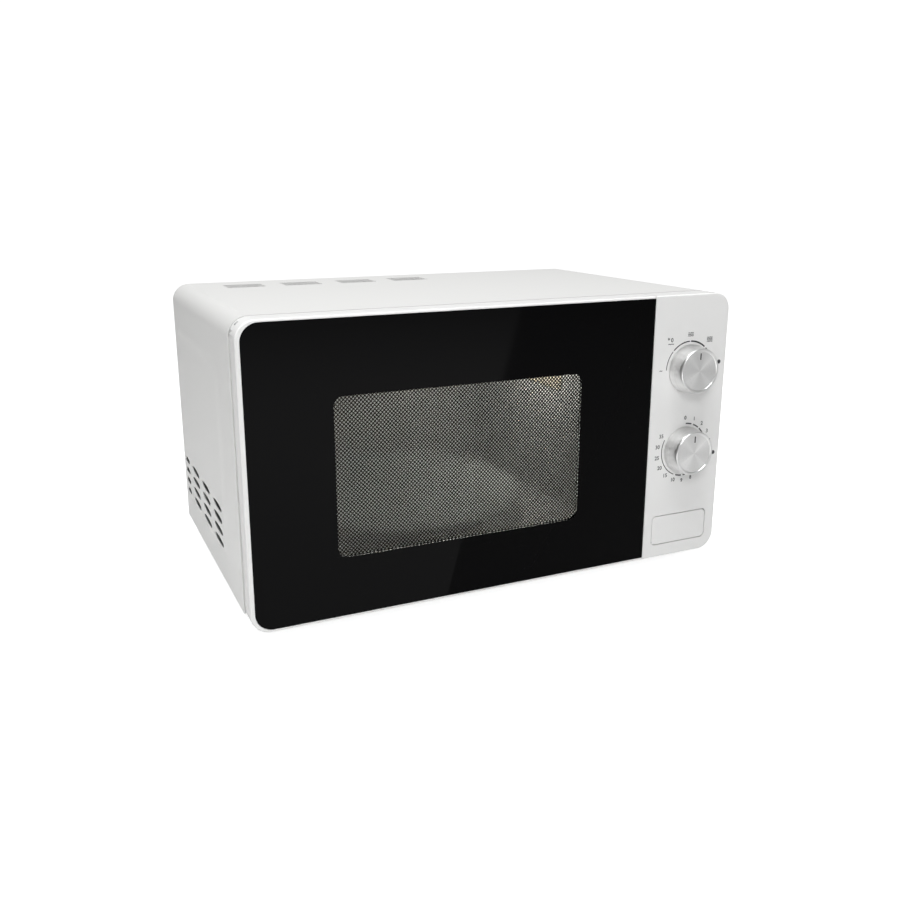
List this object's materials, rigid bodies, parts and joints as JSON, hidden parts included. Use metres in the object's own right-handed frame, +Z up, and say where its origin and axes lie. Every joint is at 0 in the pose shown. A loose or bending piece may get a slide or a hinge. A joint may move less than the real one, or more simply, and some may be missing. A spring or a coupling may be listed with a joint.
{
  "type": "microwave oven",
  "caption": "Countertop microwave oven with a side-hinged glass door, dial controls, push-button door release and a turntable in a lit cavity.",
  "frame": {"origin": "on the standing plane under the feet, at the middle of the bounding box seen from above", "axes": "+X to the right seen from the front, +Y towards the back, +Z up; the door and dials face -Y"},
  "size_m": [0.457, 0.322, 0.262],
  "materials": {
    "white_moulding": "satin white ABS, fine moulded grain",
    "white_paint": "white powder coat on thin steel sheet",
    "cavity_paint": "light grey enamel paint",
    "zinc_steel": "zinc-coated sheet steel",
    "silver_dial": "circular-brushed silver finish",
    "black_glass": "clear glass with a black back print around the window",
    "clear_glass": "clear toughened glass",
    "black_paint": "matt black paint on perforated sheet",
    "black_plastic": "black phenolic",
    "grey_plastic": "grey polypropylene",
    "natural_plastic": "natural heat-resistant plastic",
    "mica": "layered mica board",
    "core_steel": "varnished laminated steel",
    "copper": "enamelled copper wire",
    "aluminium": "plain aluminium",
    "rubber": "black rubber",
    "circuit_board": "paper phenolic board"
  },
  "bodies": {
    "cabinet": {"cabinet_wrap": "white_paint", "base_plate": "zinc_steel", "rear_panel": "zinc_steel", "cord_grommet": "rubber", "front_frame": "white_paint", "foot_front_left": "rubber", "foot_front_right": "rubber", "foot_rear_left": "rubber", "foot_rear_right": "rubber", "cavity_body": "cavity_paint", "waveguide_cover": "mica", "waveguide": "zinc_steel", "magnetron_body": "zinc_steel", "magnetron_antenna": "copper", "magnetron_filter_box": "aluminium", "lamp_holder": "natural_plastic", "oven_lamp": "clear_glass", "thermal_cutout": "black_plastic", "transformer_core": "core_steel", "primary_coil": "copper", "secondary_coil": "copper", "hv_capacitor": "aluminium", "capacitor_clamp": "zinc_steel", "hv_diode": "black_plastic", "filter_board": "circuit_board", "filter_choke": "copper", "fuse": "clear_glass", "fan_shroud": "natural_plastic", "fan_motor": "core_steel", "turntable_motor": "zinc_steel", "upper_hinge_bracket": "zinc_steel", "lower_hinge_bracket": "zinc_steel", "control_panel": "white_moulding", "timer_unit": "natural_plastic", "timer_bell": "silver_dial", "release_spring": "zinc_steel", "latch_bracket": "natural_plastic", "primary_switch": "black_plastic", "monitor_switch": "black_plastic", "secondary_switch": "black_plastic"},
    "door": {"door_frame": "white_moulding", "door_glass": "black_glass", "door_screen": "black_paint", "door_choke": "zinc_steel", "choke_cover": "grey_plastic", "inner_window": "clear_glass"},
    "door_hook": {"door_hook": "natural_plastic"},
    "power_dial": {"power_knob": "silver_dial", "power_shaft": "zinc_steel"},
    "timer_dial": {"timer_knob": "silver_dial", "timer_shaft": "zinc_steel"},
    "release_button": {"release_button": "white_moulding"},
    "release_lever": {"release_lever": "natural_plastic"},
    "turntable_coupling": {"turntable_coupling": "natural_plastic"},
    "glass_tray": {"glass_tray": "clear_glass"},
    "roller_ring": {"roller_ring": "natural_plastic"},
    "roller_wheel_rear": {"roller_wheel_rear": "natural_plastic"},
    "roller_wheel_left": {"roller_wheel_left": "natural_plastic"},
    "roller_wheel_right": {"roller_wheel_right": "natural_plastic"},
    "fan": {"fan_blade": "natural_plastic"}
  },
  "joints": [
    {"name": "door_hinge", "type": "hinge", "parent": "cabinet", "child": "door", "pos_m": [-0.22, -0.1285, 0.13825], "axis": [0, 0, -1], "range_deg": [0, 100]},
    {"name": "door_hook_lift", "type": "slide", "parent": "door", "child": "door_hook", "axis": [0, 0, 1], "range_m": [0, 0.0035]},
    {"name": "power_dial_turn", "type": "hinge", "parent": "cabinet", "child": "power_dial", "pos_m": [0.184, -0.1445, 0.1947], "axis": [0, 1, 0], "range_deg": [-90, 90]},
    {"name": "timer_dial_turn", "type": "hinge", "parent": "cabinet", "child": "timer_dial", "pos_m": [0.184, -0.1445, 0.1179], "axis": [0, 1, 0], "range_deg": [0, 300]},
    {"name": "release_button_press", "type": "slide", "parent": "cabinet", "child": "release_button", "axis": [0, 1, 0], "range_m": [0, 0.005], "stiffness_N_per_m": 400},
    {"name": "release_lever_tilt", "type": "hinge", "parent": "cabinet", "child": "release_lever", "pos_m": [0.146, -0.0849, 0.0342], "axis": [-1, 0, 0], "range_deg": [0, 19.6]},
    {"name": "turntable_spin", "type": "hinge", "parent": "cabinet", "child": "turntable_coupling", "pos_m": [-0.0415, 0.0167, 0.0495], "axis": [0, 0, 1], "continuous": true},
    {"name": "tray_lift", "type": "slide", "parent": "turntable_coupling", "child": "glass_tray", "axis": [0, 0, 1], "range_m": [0, 0.045]},
    {"name": "roller_ring_spin", "type": "hinge", "parent": "cabinet", "child": "roller_ring", "pos_m": [-0.0415, 0.0167, 0.0493], "axis": [0, 0, 1], "continuous": true},
    {"name": "fan_spin", "type": "hinge", "parent": "cabinet", "child": "fan", "pos_m": [0.171, 0.1245, 0.164], "axis": [0, 1, 0], "continuous": true},
    {"name": "roller_wheel_rear_spin", "type": "hinge", "parent": "roller_ring", "child": "roller_wheel_rear", "pos_m": [-0.0415, 0.1167, 0.0493], "axis": [0, 1, 0], "continuous": true},
    {"name": "roller_wheel_left_spin", "type": "hinge", "parent": "roller_ring", "child": "roller_wheel_left", "pos_m": [-0.1281, -0.0333, 0.0493], "axis": [-0.866, -0.5, 0], "continuous": true},
    {"name": "roller_wheel_right_spin", "type": "hinge", "parent": "roller_ring", "child": "roller_wheel_right", "pos_m": [0.0451, -0.0333, 0.0493], "axis": [0.866, -0.5, 0], "continuous": true}
  ],
  "couplings": [
    {"joint": "door_hook_lift", "follows": "release_button_press", "ratio": 0.7},
    {"joint": "release_lever_tilt", "follows": "release_button_press", "rad_per_m": 68},
    {"joint": "roller_ring_spin", "follows": "turntable_spin", "ratio": 0.5},
    {"joint": "roller_wheel_rear_spin", "follows": "turntable_spin", "ratio": -7.6923},
    {"joint": "roller_wheel_left_spin", "follows": "turntable_spin", "ratio": -7.6923},
    {"joint": "roller_wheel_right_spin", "follows": "turntable_spin", "ratio": -7.6923}
  ]
}
